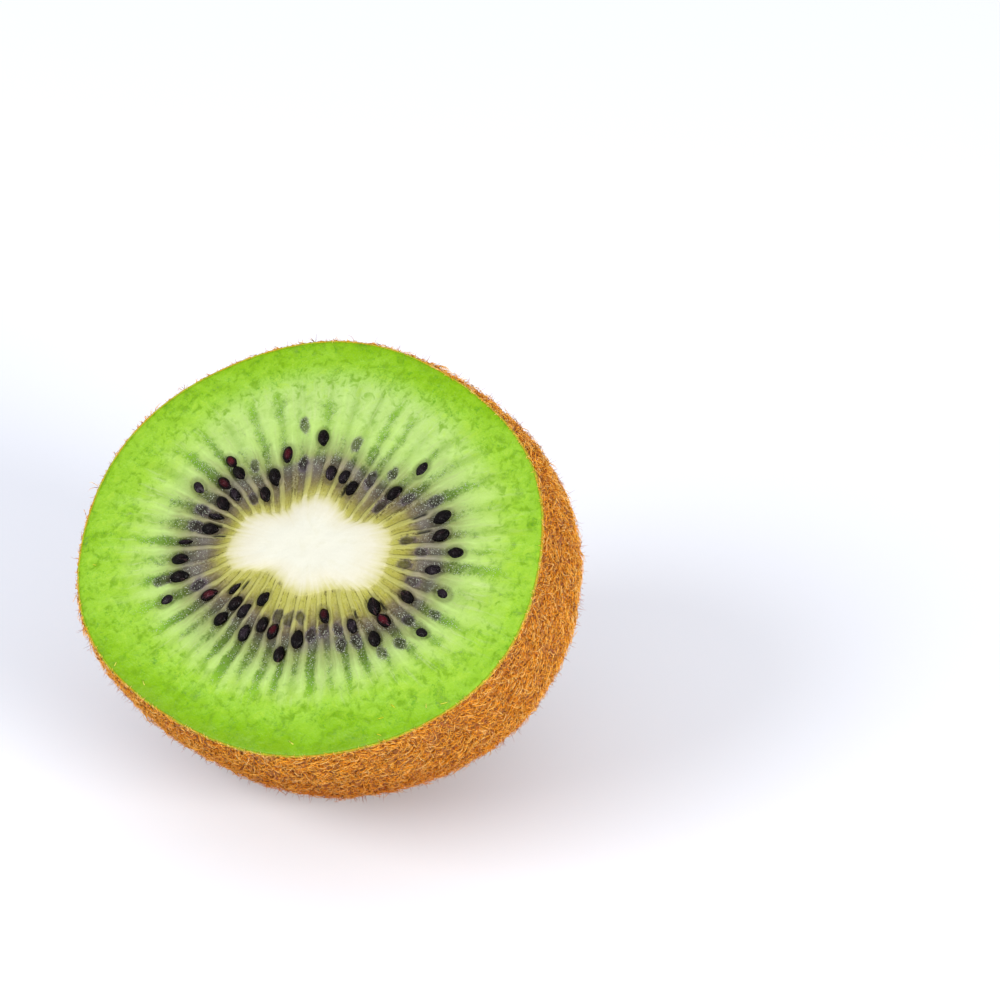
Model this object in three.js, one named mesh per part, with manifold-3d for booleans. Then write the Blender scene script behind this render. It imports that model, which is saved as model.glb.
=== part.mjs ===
// Half of a kiwi fruit, cut across and lying on the round of its skin.
// Millimetres, +Z up. The origin is the middle of the small flat spot that the half rests on.
// The cut face looks towards -Y and up. The flesh and the pale core are turned on a lathe profile
// in the fruit's own frame (cut face at height 0, tip below), pressed out of round, and then laid down.

import * as THREE from "three";
import { mergeVertices } from "three/addons/utils/BufferGeometryUtils.js";
import Module from "manifold-3d";

// Driving dimensions of the half fruit
const WIDE_RADIUS = 27;
const NARROW_RADIUS = 23.6;
const HALF_LENGTH = 33.8;
const SIDE_FULLNESS = 2.4;
const LEAN_BACK = THREE.MathUtils.degToRad(37.1);
const ROLL = THREE.MathUtils.degToRad(13.5);
const FLAT_SPOT_DEPTH = 0.6;

// Uneven outline of the cut: [waves a turn, share of the radius, where the first crest lies]
const OUTLINE_WAVES = [
  [2, 0.014, THREE.MathUtils.degToRad(-35)],
  [3, 0.010, THREE.MathUtils.degToRad(-35)],
  [4, 0.005, THREE.MathUtils.degToRad(29)],
  [6, 0.008, THREE.MathUtils.degToRad(-25)],
];

// Below the cut the belly's oval turns: its own wave grows with depth at this rate
const BELLY_WAVES = [[2, 0.057, THREE.MathUtils.degToRad(56)]];
const BELLY_REACH = 6;

// Pale core: its narrow half width at the cut, and its own waves in millimetres
const CORE_RADIUS = 5.3;
const CORE_LENGTH = 27;
const CORE_GAP = 0.35;
const CORE_EDGE_HEIGHT = 0.05;
const CORE_CROWN_HEIGHT = 0.25;
const CORE_CROWN_RADIUS = 3.2;
const CORE_WAVES = [
  [1, 0.5, THREE.MathUtils.degToRad(-21)],
  [2, 0.6, THREE.MathUtils.degToRad(6)],
  [3, 0.4, THREE.MathUtils.degToRad(-30)],
  [4, 0.4, THREE.MathUtils.degToRad(12)],
  [6, 0.6, THREE.MathUtils.degToRad(-29)],
];

// Ring of seed cells round the core. The cells leave the core square to its edge, as the
// hyperbolas do that cross a family of ellipses with these foci.
const FOCUS = 7;
const CELLS = 44;
const CELL_DEPTH = 0.35;
const CELL_END = 17;
const CELL_END_SLOPE = 5;
const CELL_START_GAP = 0.5;
const CELL_START_SLOPE = 3;
const CELL_BACK_SHARE = 0.35;
const CELL_FIRST_TURN = THREE.MathUtils.degToRad(10.4);
const CELL_CROWDING_WAVES = [
  [1, THREE.MathUtils.degToRad(4.4), THREE.MathUtils.degToRad(180)],
  [2, THREE.MathUtils.degToRad(2), THREE.MathUtils.degToRad(26)],
];

// Seeds: one letter for each cell, counted from the right and anticlockwise, in four rows that
// stand off from the core. B black, R reddish brown, d dark and half sunk, t thin on its edge.
// Where a g stands, a pale seed lies wholly sunk under the flesh, and nothing breaks the surface.
const SEED_SIDES = 6;
const SEED_BANDS = 4;
const SEED_LENGTH = 2.3;
const SEED_WIDTH = 1.5;
const SEED_THICKNESS = 1.15;
const SEED_ROWS = [
  { standoff: 2.7, chart: ".g...g..Bdd....Bg.........t..B.ggg.R...B...g" },
  { standoff: 4.7, chart: "g...gB.g....g.B..dBtB...gR.Bd.BR.Bgggd.R.Bg." },
  { standoff: 6.8, chart: ".BBg..g..g.B.R.gBR.ggtBB...B.d..B...ggB.g..d" },
  { standoff: 8.9, chart: "B....d......g...R.d....gd.............ggdgd." },
];
const SEED_KINDS = {
  B: { proud: 0.45, size: 1.0, width: 1.0 },
  R: { proud: 0.34, size: 0.95, width: 0.95 },
  d: { proud: 0.26, size: 0.95, width: 1.0 },
  t: { proud: 0.3, size: 0.9, width: 0.5 },
};
const SEED_SWING = THREE.MathUtils.degToRad(34);
const SEED_PLACE_UNEVENNESS = 0.2;
const SEED_SIZE_UNEVENNESS = 0.1;
const GOLDEN_STEP = 0.618034;
const SILVER_STEP = 0.414214;

// Tip of the fruit: a puckered dimple with a woody scar in it
const PUCKER_RADIUS = 6.5;
const PUCKER_LIP_RADIUS = 5.2;
const PUCKER_LIP_HEIGHT = -33.3;
const PUCKER_DEPTH = 0.9;
const PUCKER_FOLDS = 11;
const PUCKER_FOLD_RADIUS = 3.9;
const PUCKER_FOLD_HEIGHT = 0.25;
const SCAR_RADIUS = 2.6;
const SCAR_TOP_RADIUS = 2.2;
const SCAR_HEIGHT = 0.7;
const SCAR_PIT_RADIUS = 1.1;
const SCAR_PIT_DEPTH = 0.3;

// Cut edge of the skin, and where the cut face turns from the core's shape to the skin's
const RIM_ROUND = 0.4;
const SKIN_SHAPE_START = 14;

// Rings of the lathe profile
const COLUMNS = 2 * CELLS;
const SKIN_BANDS = 11;
const FACE_BANDS = 6;
const FIRST_CELL_RING = 1.4;
const TAPER_STEPS = [0, 0.3, 0.6, 0.82, 0.95, 1];

const FULL_TURN = 2 * Math.PI;
const AXIS_RADIUS = 0;

const wasm = await Module();
wasm.setup();

const smooth = THREE.MathUtils.smoothstep;

function waves(list, angle) {
  return list.reduce((sum, [count, height, crest]) => sum + height * Math.cos(count * (angle - crest)), 0);
}

// Direction round the core of a share of a turn, so that cell k is centred on share k / CELLS
function cellAngle(share) {
  const even = share * FULL_TURN;
  return even + CELL_FIRST_TURN + waves(CELL_CROWDING_WAVES, even);
}

function coreEdge(angle) {
  return CORE_RADIUS + waves(CORE_WAVES, angle);
}

// Point on the ellipse round the foci whose narrow half width is given
function confocalPoint(halfWidth, angle) {
  return new THREE.Vector2(Math.hypot(halfWidth, FOCUS) * Math.cos(angle), halfWidth * Math.sin(angle));
}

// Point on the outline of a section of the fruit, at a share of the full width and a depth below the cut
function outlinePoint(share, angle, depth) {
  const belly = 1 - Math.exp(-depth / BELLY_REACH);
  const uneven = 1 + share * waves(OUTLINE_WAVES, angle) + belly * waves(BELLY_WAVES, angle);
  return new THREE.Vector2(WIDE_RADIUS * Math.cos(angle), NARROW_RADIUS * Math.sin(angle))
    .multiplyScalar(share * uneven);
}

// Place on the cut face of a nominal radius: along the core's edge inside, the skin's outline outside
function facePoint(radius, angle) {
  const follow = 1 - smooth(radius, CORE_RADIUS, CELL_END);
  const halfWidth = radius + (coreEdge(angle) - CORE_RADIUS) * follow;
  const towardsRim = smooth(radius, SKIN_SHAPE_START, NARROW_RADIUS);
  return confocalPoint(halfWidth, angle).lerp(outlinePoint(radius / NARROW_RADIUS, angle, 0), towardsRim);
}

// Height of the cut face: the seed cells are sunk between the walls that part them
function faceHeight(radius, share) {
  const start = CORE_RADIUS + CELL_START_GAP;
  const along = smooth(radius, start, start + CELL_START_SLOPE)
    * (1 - smooth(radius, CELL_END - CELL_END_SLOPE, CELL_END));
  const middle = 0.5 + 0.5 * Math.cos(CELLS * share * FULL_TURN);
  return -CELL_DEPTH * along * THREE.MathUtils.lerp(CELL_BACK_SHARE, 1, middle);
}

function pressFace(radius, height, share) {
  const place = facePoint(radius, cellAngle(share));
  return new THREE.Vector3(place.x, place.y, height + faceHeight(radius, share));
}

function pressSkin(radius, height, share) {
  const place = outlinePoint(radius / NARROW_RADIUS, cellAngle(share), -height);
  return new THREE.Vector3(place.x, place.y, height);
}

// The skin of the dimple is gathered in folds between the scar and the dimple's lip
function pressPucker(radius, height, share) {
  const place = pressSkin(radius, height, share);
  place.z += PUCKER_FOLD_HEIGHT * Math.cos(PUCKER_FOLDS * cellAngle(share));
  return place;
}

// The core keeps the shape of its edge at the cut all the way down its taper
function pressCore(radius, height, share) {
  const angle = cellAngle(share);
  const place = confocalPoint(coreEdge(angle), angle).multiplyScalar(radius / CORE_RADIUS);
  return new THREE.Vector3(place.x, place.y, height);
}

// A ring of the lathe profile, and how the ring is pressed out of round
function ring(radius, height, press) {
  return { radius, height, press };
}

// Turns a list of rings on the lathe and presses each ring into its real outline
function turned(rings) {
  const profile = rings.map(({ radius, height }) => new THREE.Vector2(radius, height));
  const geometry = new THREE.LatheGeometry(profile, COLUMNS);
  const { position, uv } = geometry.attributes;
  for (let i = 0; i < position.count; i += 1) {
    const { radius, height, press } = rings[Math.round(uv.getY(i) * (rings.length - 1))];
    const place = press(radius, height, uv.getX(i) % 1);
    position.setXYZ(i, place.x, place.y, place.z);
  }
  return geometry;
}

// Closed solid of a geometry, its shared vertices merged and its collapsed faces dropped
function solid(geometry) {
  geometry.deleteAttribute("normal");
  geometry.deleteAttribute("uv");
  const merged = mergeVertices(geometry);
  const corners = Array.from(merged.index.array);
  const kept = [];
  for (let i = 0; i < corners.length; i += 3) {
    const [a, b, c] = corners.slice(i, i + 3);
    if (a !== b && b !== c && c !== a) {
      kept.push(a, b, c);
    }
  }
  return new wasm.Manifold(new wasm.Mesh({
    numProp: 3,
    vertProperties: new Float32Array(merged.attributes.position.array),
    triVerts: new Uint32Array(kept),
  }));
}

function toGeometry(body) {
  const mesh = body.getMesh();
  const geometry = new THREE.BufferGeometry();
  geometry.setAttribute("position", new THREE.BufferAttribute(mesh.vertProperties, 3));
  geometry.setIndex(new THREE.BufferAttribute(mesh.triVerts, 1));
  geometry.computeVertexNormals();
  return geometry;
}

// Share of its full width that a rounded taper keeps at a share of its length
function taperWidth(depth) {
  return (1 - depth ** SIDE_FULLNESS) ** (1 / SIDE_FULLNESS);
}

// The woody scar in its dimple, with a ring of folds round it, from the middle of the tip outwards
function tipRings() {
  const floor = PUCKER_LIP_HEIGHT + PUCKER_DEPTH;
  const top = floor - SCAR_HEIGHT;
  return [
    ring(AXIS_RADIUS, top + SCAR_PIT_DEPTH, pressSkin),
    ring(SCAR_PIT_RADIUS, top, pressSkin),
    ring(SCAR_TOP_RADIUS, top, pressSkin),
    ring(SCAR_RADIUS, floor, pressSkin),
    ring(PUCKER_FOLD_RADIUS, floor - 0.5 * PUCKER_DEPTH, pressPucker),
    ring(PUCKER_LIP_RADIUS, PUCKER_LIP_HEIGHT, pressSkin),
  ];
}

// The outside, from the edge of the dimple up to the cut
function skinRings() {
  const power = 2 / SIDE_FULLNESS;
  const tipTurn = Math.acos((PUCKER_RADIUS / NARROW_RADIUS) ** (1 / power));
  const rimTurn = Math.asin((RIM_ROUND / HALF_LENGTH) ** (1 / power));
  const rings = [];
  for (let i = 0; i <= SKIN_BANDS; i += 1) {
    const turn = THREE.MathUtils.lerp(tipTurn, rimTurn, i / SKIN_BANDS);
    const radius = NARROW_RADIUS * Math.cos(turn) ** power;
    rings.push(ring(radius, -HALF_LENGTH * Math.sin(turn) ** power, pressSkin));
  }
  return rings;
}

// The cut face, from the skin inwards to the seed cells
function faceRings() {
  const first = NARROW_RADIUS - RIM_ROUND;
  const last = CORE_RADIUS + FIRST_CELL_RING;
  const rings = [];
  for (let i = 0; i <= FACE_BANDS; i += 1) {
    rings.push(ring(THREE.MathUtils.lerp(first, last, i / FACE_BANDS), 0, pressFace));
  }
  return rings;
}

// A side that starts straight at the cut and closes round at its end, from the cut down
function taperRings(radius, length, topHeight) {
  return TAPER_STEPS.map((depth) => {
    const height = depth === 0 ? topHeight : -depth * length;
    return ring(radius * taperWidth(depth), height, pressCore);
  });
}

function fleshBody() {
  const hollow = taperRings(CORE_RADIUS + CORE_GAP, CORE_LENGTH + CORE_GAP, 0);
  return solid(turned([...tipRings(), ...skinRings(), ...faceRings(), ...hollow]));
}

function coreBody() {
  const side = taperRings(CORE_RADIUS, CORE_LENGTH, CORE_EDGE_HEIGHT);
  const crown = [
    ring(CORE_CROWN_RADIUS, CORE_CROWN_HEIGHT, pressCore),
    ring(AXIS_RADIUS, CORE_CROWN_HEIGHT, pressCore),
  ];
  return solid(turned([...side.reverse(), ...crown]));
}

// Evenly spread numbers from -1 to 1 that never repeat
function spread(step, count) {
  return 2 * ((step * count) % 1) - 1;
}

function seedGeometry(row, cell, kind, count) {
  const { proud, size, width } = SEED_KINDS[kind];
  const share = cell / CELLS;
  const angle = cellAngle(share);
  const radius = coreEdge(angle) + row.standoff + SEED_PLACE_UNEVENNESS * spread(GOLDEN_STEP, count);
  const place = confocalPoint(radius, angle);
  const outwards = confocalPoint(radius + 1, angle).sub(place).angle();
  const grown = size * (1 + SEED_SIZE_UNEVENNESS * spread(SILVER_STEP, count));
  const thickness = grown * SEED_THICKNESS;
  const geometry = new THREE.SphereGeometry(0.5, SEED_SIDES, SEED_BANDS);
  geometry.scale(grown * width * SEED_WIDTH, grown * SEED_LENGTH, thickness);
  geometry.rotateZ(outwards - 0.5 * Math.PI + 0.5 * SEED_SWING * spread(SILVER_STEP, count + cell));
  geometry.translate(place.x, place.y, proud - 0.5 * thickness - 0.5 * CELL_DEPTH);
  return geometry;
}

function seedBodies() {
  const seeds = [];
  SEED_ROWS.forEach((row) => {
    [...row.chart].forEach((kind, cell) => {
      if (kind in SEED_KINDS) {
        seeds.push(solid(seedGeometry(row, cell, kind, seeds.length)));
      }
    });
  });
  return seeds;
}

// Lays the fruit on its side, with its lowest point sunk below the floor by the flat spot's depth
function layingPose(body) {
  const leaned = new THREE.Matrix4().makeRotationFromEuler(new THREE.Euler(LEAN_BACK, 0, ROLL));
  const { vertProperties } = body.getMesh();
  const lowest = new THREE.Vector3(0, 0, Infinity);
  const point = new THREE.Vector3();
  for (let i = 0; i < vertProperties.length; i += 3) {
    point.fromArray(vertProperties, i).applyMatrix4(leaned);
    if (point.z < lowest.z) {
      lowest.copy(point);
    }
  }
  const shift = new THREE.Matrix4();
  shift.makeTranslation(-lowest.x, -lowest.y, -lowest.z - FLAT_SPOT_DEPTH);
  return shift.multiply(leaned);
}

function floorBlock() {
  const size = 4 * WIDE_RADIUS;
  const geometry = new THREE.BoxGeometry(size, size, size);
  geometry.translate(0, 0, -0.5 * size);
  return solid(geometry);
}

const body = fleshBody();
const pose = layingPose(body);
const seeded = wasm.Manifold.union([body, ...seedBodies()]);

const flesh = new THREE.Mesh(
  toGeometry(seeded.transform(pose.elements).subtract(floorBlock())),
  new THREE.MeshStandardMaterial({ color: 0x8cc63f, roughness: 0.35, metalness: 0 }),
);
flesh.name = "flesh";

const core = new THREE.Mesh(
  toGeometry(coreBody().transform(pose.elements)),
  new THREE.MeshStandardMaterial({ color: 0xf4f0d8, roughness: 0.45, metalness: 0 }),
);
core.name = "core";

const kiwiHalf = new THREE.Group();
kiwiHalf.add(flesh, core);

export default kiwiHalf;
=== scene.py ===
import math

import bpy
import numpy as np
from mathutils import Matrix, Vector


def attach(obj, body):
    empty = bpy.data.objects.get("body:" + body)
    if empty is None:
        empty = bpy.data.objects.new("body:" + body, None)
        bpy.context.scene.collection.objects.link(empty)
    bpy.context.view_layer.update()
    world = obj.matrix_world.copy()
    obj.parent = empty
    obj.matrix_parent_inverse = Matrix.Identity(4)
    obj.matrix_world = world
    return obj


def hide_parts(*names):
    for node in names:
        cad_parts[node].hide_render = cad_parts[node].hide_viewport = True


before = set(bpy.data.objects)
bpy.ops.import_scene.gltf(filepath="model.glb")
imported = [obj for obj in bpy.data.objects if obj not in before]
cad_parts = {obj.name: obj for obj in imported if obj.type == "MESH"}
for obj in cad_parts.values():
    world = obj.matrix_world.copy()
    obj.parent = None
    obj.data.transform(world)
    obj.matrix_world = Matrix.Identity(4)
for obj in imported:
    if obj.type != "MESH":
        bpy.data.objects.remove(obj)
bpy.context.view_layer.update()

# Millimetres, in the fruit's own frame: the cut face lies at height 0 and the tip hangs below it.
# settle() lays each finished piece down into the row frame, in metres.
TURN = 2 * math.pi
WIDE_RADIUS = 27
NARROW_RADIUS = 23.6
HALF_LENGTH = 33.8
SIDE_FULLNESS = 2.4
LEAN_BACK = math.radians(37.1)
ROLL = math.radians(13.5)
FACE_CENTRE = Vector((2.099, -5.671, 31.569))
OUTLINE_WAVES = [  # how many waves go round, their height and where a crest lies
    (2, 0.014, math.radians(-35)),
    (3, 0.010, math.radians(-35)),
    (4, 0.005, math.radians(29)),
    (6, 0.008, math.radians(-25)),
]
BELLY_WAVES = [(2, 0.057, math.radians(56))]
BELLY_REACH = 6
CORE_RADIUS = 5.3
CORE_LENGTH = 27
CORE_CROWN_HEIGHT = 0.25
CORE_WAVES = [
    (1, 0.5, math.radians(-21)),
    (2, 0.6, math.radians(6)),
    (3, 0.4, math.radians(-30)),
    (4, 0.4, math.radians(12)),
    (6, 0.6, math.radians(-29)),
]
FOCUS = 7
CELLS = 44
CELL_DEPTH = 0.35
CELL_END = 17
CELL_FIRST_TURN = math.radians(10.4)
CELL_CROWDING_WAVES = [(1, math.radians(4.4), math.radians(180)), (2, math.radians(2), math.radians(26))]
SKIN_SHAPE_START = 14

# Seeds: one letter for each cell, in four rows that stand off from the core
SEED_LENGTH = 2.3
SEED_WIDTH = 1.5
SEED_THICKNESS = 1.15
SEED_ROWS = [
    (2.7, ".g...g..Bdd....Bg.........t..B.ggg.R...B...g"),
    (4.7, "g...gB.g....g.B..dBtB...gR.Bd.BR.Bgggd.R.Bg."),
    (6.8, ".BBg..g..g.B.R.gBR.ggtBB...B.d..B...ggB.g..d"),
    (8.9, "B....d......g...R.d....gd.............ggdgd."),
]
SEED_KINDS = {  # how far it stands proud, its size and its width; g lies under the surface
    "B": (0.45, 1.0, 1.0),
    "R": (0.34, 0.95, 0.95),
    "d": (0.26, 0.95, 1.0),
    "t": (0.3, 0.9, 0.5),
    "g": (-0.1, 0.95, 0.95),
}
SEED_SWING = math.radians(34)
SEED_PLACE_UNEVENNESS = 0.2
SEED_SIZE_UNEVENNESS = 0.1
GOLDEN_STEP = 0.618034
SILVER_STEP = 0.414214

# Tip: a puckered dimple with a woody scar in it
PUCKER_RADIUS = 6.5
PUCKER_LIP_RADIUS = 5.2
PUCKER_LIP_HEIGHT = -33.3
PUCKER_DEPTH = 0.9
PUCKER_FOLDS = 11
PUCKER_FOLD_RADIUS = 3.9
PUCKER_FOLD_HEIGHT = 0.25
SCAR_RADIUS = 2.6

# The skin lies this far inside the envelope of its hair, and the flesh inside the skin
SKIN_INSET = 0.45
SKIN_THICKNESS = 0.22


# ---------------------------------------------------------------- rules of the fruit's shape


def waves(table, angle):
    return sum(height * np.cos(count * (angle - crest)) for count, height, crest in table)


def smooth(value, low, high):
    t = np.clip((value - low) / (high - low), 0, 1)
    return t * t * (3 - 2 * t)


def cell_angle(share):
    even = share * TURN
    return even + CELL_FIRST_TURN + waves(CELL_CROWDING_WAVES, even)


def core_edge(angle):
    return CORE_RADIUS + waves(CORE_WAVES, angle)


def confocal_point(half_width, angle):
    return np.stack([np.hypot(half_width, FOCUS) * np.cos(angle), half_width * np.sin(angle)], -1)


def outline_point(share, angle, depth):
    belly = 1 - np.exp(-depth / BELLY_REACH)
    uneven = share * (1 + share * waves(OUTLINE_WAVES, angle) + belly * waves(BELLY_WAVES, angle))
    return np.stack([WIDE_RADIUS * np.cos(angle) * uneven, NARROW_RADIUS * np.sin(angle) * uneven], -1)


def face_point(radius, angle):
    follow = 1 - smooth(radius, CORE_RADIUS, CELL_END)
    half_width = radius + (core_edge(angle) - CORE_RADIUS) * follow
    towards_rim = smooth(radius, SKIN_SHAPE_START, NARROW_RADIUS)[..., None]
    outer = outline_point(radius / NARROW_RADIUS, angle, 0)
    inside_core = np.minimum(radius / CORE_RADIUS, 1)[..., None]
    inner = confocal_point(np.maximum(half_width, core_edge(angle)), angle) * inside_core
    return inner * (1 - towards_rim) + outer * towards_rim


def spread(step, count):
    return 2 * ((step * count) % 1) - 1


def seed_places():
    """Every seed: its kind, place, direction outwards, size, width, height of its middle."""
    places, seen, sunk = [], 0, 1000
    for standoff, chart in SEED_ROWS:
        for cell, kind in enumerate(chart):
            if kind == ".":
                continue
            count = sunk if kind == "g" else seen
            sunk, seen = (sunk + 1, seen) if kind == "g" else (sunk, seen + 1)
            proud, size, width = SEED_KINDS[kind]
            angle = cell_angle(cell / CELLS)
            radius = core_edge(angle) + standoff + SEED_PLACE_UNEVENNESS * spread(GOLDEN_STEP, count)
            place = confocal_point(radius, angle)
            ahead = confocal_point(radius + 1, angle) - place
            turn = math.atan2(ahead[1], ahead[0]) + 0.5 * SEED_SWING * spread(SILVER_STEP, count + cell)
            grown = size * (1 + SEED_SIZE_UNEVENNESS * spread(SILVER_STEP, count))
            middle = proud - 0.5 * grown * SEED_THICKNESS - 0.5 * CELL_DEPTH
            seed = {"kind": kind, "place": place, "turn": turn, "size": grown, "width": width, "z": middle}
            places.append(seed)
    return places


SEEDS = seed_places()


class Grain:
    """Smooth random bumps from -1 to 1 over space, on a lattice of its own seed."""

    SIZE = 48

    def __init__(self, seed):
        self.table = np.random.default_rng(seed).uniform(-1, 1, (self.SIZE,) * 3)

    def __call__(self, points, pitch):
        scaled = np.asarray(points, float) / pitch
        low = np.floor(scaled).astype(int)
        part = scaled - low
        part = part * part * (3 - 2 * part)
        total = 0
        for corner in np.ndindex(2, 2, 2):
            weight = np.prod([part[..., i] if corner[i] else 1 - part[..., i] for i in range(3)], axis=0)
            i, j, k = ((low[..., a] + corner[a]) % self.SIZE for a in range(3))
            total = total + weight * self.table[i, j, k]
        return total


LUMPS = Grain(3)
FINE = Grain(5)
DRIFT = Grain(8)


# ---------------------------------------------------------------- modelling helpers


def deselect():
    if bpy.context.object and bpy.context.object.mode != "OBJECT":
        bpy.ops.object.mode_set(mode="OBJECT")
    bpy.ops.object.select_all(action="DESELECT")


def points_of(piece):
    flat = np.empty(3 * len(piece.data.vertices))
    piece.data.vertices.foreach_get("co", flat)
    return flat.reshape(-1, 3)


def set_points(piece, points):
    piece.data.vertices.foreach_set("co", np.asarray(points, float).ravel())
    piece.data.update()


def add_numbers(piece, name, values):
    layer = piece.data.attributes.new(name, "FLOAT", "POINT")
    layer.data.foreach_set("value", np.asarray(values, np.float32))


def lathe(name, profile, columns):
    """Draws a profile of (radius, height) points and spins it round the fruit's axis."""
    deselect()
    bpy.ops.mesh.primitive_plane_add(size=1)
    piece = bpy.context.object
    piece.name = name
    bpy.ops.object.mode_set(mode="EDIT")
    bpy.ops.mesh.merge(type="CENTER")
    bpy.ops.transform.translate(value=(profile[0][0], 0, profile[0][1]))
    for (radius, height), (next_radius, next_height) in zip(profile, profile[1:]):
        step = (next_radius - radius, 0, next_height - height)
        bpy.ops.mesh.extrude_region_move(TRANSFORM_OT_translate={"value": step})
    bpy.ops.mesh.select_all(action="SELECT")
    bpy.ops.mesh.spin(steps=columns, angle=TURN, center=(0, 0, 0), axis=(0, 0, 1), use_auto_merge=True)
    bpy.ops.mesh.select_all(action="SELECT")
    bpy.ops.mesh.remove_doubles(threshold=0.001)
    bpy.ops.mesh.normals_make_consistent(inside=False)
    bpy.ops.object.mode_set(mode="OBJECT")
    return piece


def turned_places(piece):
    """Radius, share of a turn and height of each vertex of a piece fresh from the lathe."""
    points = points_of(piece)
    share = (np.arctan2(points[:, 1], points[:, 0]) / TURN) % 1
    return np.hypot(points[:, 0], points[:, 1]), share, points[:, 2]


def map_cells(piece, radius, cells):
    """A UV map that counts the cells round the core along u, and holds the radius as v."""
    mesh = piece.data
    layer = mesh.uv_layers.new(name="cells")
    starts = np.empty(len(mesh.polygons), int)
    mesh.polygons.foreach_get("loop_start", starts)
    corners = np.empty(len(mesh.loops), int)
    mesh.loops.foreach_get("vertex_index", corners)
    face_of = np.repeat(np.arange(len(starts)), np.diff(np.append(starts, len(corners))))
    u = cells[corners]
    highest = np.maximum.reduceat(u, starts)[face_of]
    u = np.where(highest - u > 0.5 * CELLS, u + CELLS, u)
    layer.data.foreach_set("uv", np.stack([u, radius[corners]], -1).astype(np.float32).ravel())


def settle(piece, slot, *nodes):
    """Lays a finished piece down in the row frame, in metres, and lets it ride."""
    lay = Matrix.Translation(FACE_CENTRE) @ Matrix.Rotation(LEAN_BACK, 4, "X")
    lay = lay @ Matrix.Rotation(ROLL, 4, "Z")
    piece.data.transform(Matrix.Scale(0.001, 4) @ lay)
    piece.data.update()
    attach(piece, "root")
    if nodes:
        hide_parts(*nodes)
    return piece


def shade_smooth(piece, angle=None):
    deselect()
    piece.select_set(True)
    bpy.context.view_layer.objects.active = piece
    if angle is None:
        bpy.ops.object.shade_smooth()
    else:
        bpy.ops.object.shade_smooth_by_angle(angle=angle)


# ---------------------------------------------------------------- materials


class Socket:
    """A node's output that maths can be done on: each step adds its Math node."""

    def __init__(self, finish, output):
        self.finish = finish
        self.output = output

    def maths(self, operation, first, second=0.0):
        return self.finish.node("ShaderNodeMath", {"operation": operation}, {0: first, 1: second})

    def __add__(self, other):
        return self.maths("ADD", self, other)

    def __sub__(self, other):
        return self.maths("SUBTRACT", self, other)

    def __rsub__(self, other):
        return self.maths("SUBTRACT", other, self)

    def __mul__(self, other):
        return self.maths("MULTIPLY", self, other)

    def __truediv__(self, other):
        return self.maths("DIVIDE", self, other)

    def __abs__(self):
        return self.maths("ABSOLUTE", self)

    def clamp(self):
        return self.smooth(0.0, 1.0, "LINEAR")

    def smooth(self, low, high, kind="SMOOTHSTEP"):
        """0 at low and 1 at high, which may lie either way round."""
        if low > high:
            return 1 - self.smooth(high, low, kind)
        values = {"Value": self, "From Min": low, "From Max": high}
        return self.finish.node("ShaderNodeMapRange", {"interpolation_type": kind}, values)


def set_stops(ramp, stops):
    """Gives a ramp its colours: its two ends first, then those between."""
    ends = (ramp.elements[0], stops[0]), (ramp.elements[-1], stops[-1])
    for element, (place, shade) in ends:
        element.position = place
        element.color = shade
    for place, shade in stops[1:-1]:
        ramp.elements.new(place).color = shade


class Finish:
    """A material on a Principled shader, and the nodes that vary it."""

    def __init__(self, name, **constants):
        self.material = bpy.data.materials.new(name)
        self.material.use_nodes = True
        self.tree = self.material.node_tree
        self.shader = self.tree.nodes["Principled BSDF"]
        for socket, value in constants.items():
            self.shader.inputs[socket.replace("_", " ")].default_value = value

    def node(self, kind, settings, values, output=0):
        """Adds a node of a type; its settings are set first, then its sockets' values or links."""
        node = self.tree.nodes.new(kind)
        for setting, value in settings.items():
            if setting == "stops":
                set_stops(node.color_ramp, value)
            else:
                setattr(node, setting, value)
        for socket, value in values.items():
            self.plug(node.inputs[socket], value)
        return Socket(self, node.outputs[output])

    def plug(self, socket, value):
        if isinstance(value, Socket):
            self.tree.links.new(value.output, socket)
        else:
            socket.default_value = value

    def shade(self, **sockets):
        for socket, value in sockets.items():
            self.plug(self.shader.inputs[socket.replace("_", " ")], value)

    def attribute(self, name):
        return self.node("ShaderNodeAttribute", {"attribute_name": name}, {}, "Fac")

    def place(self):
        """The point in millimetres along the row's axes."""
        point = self.node("ShaderNodeTexCoord", {}, {}, "Object")
        return self.node("ShaderNodeMapping", {}, {"Vector": point, "Scale": (1000, 1000, 1000)})

    def noise(self, point, scale, detail=2.0, roughness=0.5, warp=0.0):
        values = {"Vector": point, "Scale": scale, "Detail": detail, "Roughness": roughness}
        values["Distortion"] = warp
        return self.node("ShaderNodeTexNoise", {}, values)

    def specks(self, point, scale):
        """The distance to the nearest of many scattered points."""
        return self.node("ShaderNodeTexVoronoi", {}, {"Vector": point, "Scale": scale}, "Distance")

    def mix(self, share, first, second, blend="MIX"):
        values = {0: share, 6: first, 7: second}
        return self.node("ShaderNodeMix", {"data_type": "RGBA", "blend_type": blend}, values, 2)

    def bands(self, radius, stops):
        """Colours that change with the distance from the fruit's axis, each named at its radius."""
        stops = [(at / FACE_REACH, colour(code)) for at, code in stops]
        return self.node("ShaderNodeValToRGB", {"stops": stops}, {"Fac": radius / FACE_REACH})

    def split(self, vector):
        node = self.node("ShaderNodeSeparateXYZ", {}, {0: vector}).output.node
        return [Socket(self, output) for output in node.outputs]

    def join(self, x, y, z=0.0):
        return self.node("ShaderNodeCombineXYZ", {}, {0: x, 1: y, 2: z})

    def bump(self, height, distance):
        values = {"Height": height, "Distance": distance, "Strength": 1.0}
        return self.node("ShaderNodeBump", {}, values, "Normal")


def colour(code):
    """Linear colour of an sRGB hex code."""
    parts = [int(code[i : i + 2], 16) / 255 for i in (0, 2, 4)]
    return [p / 12.92 if p <= 0.04045 else ((p + 0.055) / 1.055) ** 2.4 for p in parts] + [1.0]


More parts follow.
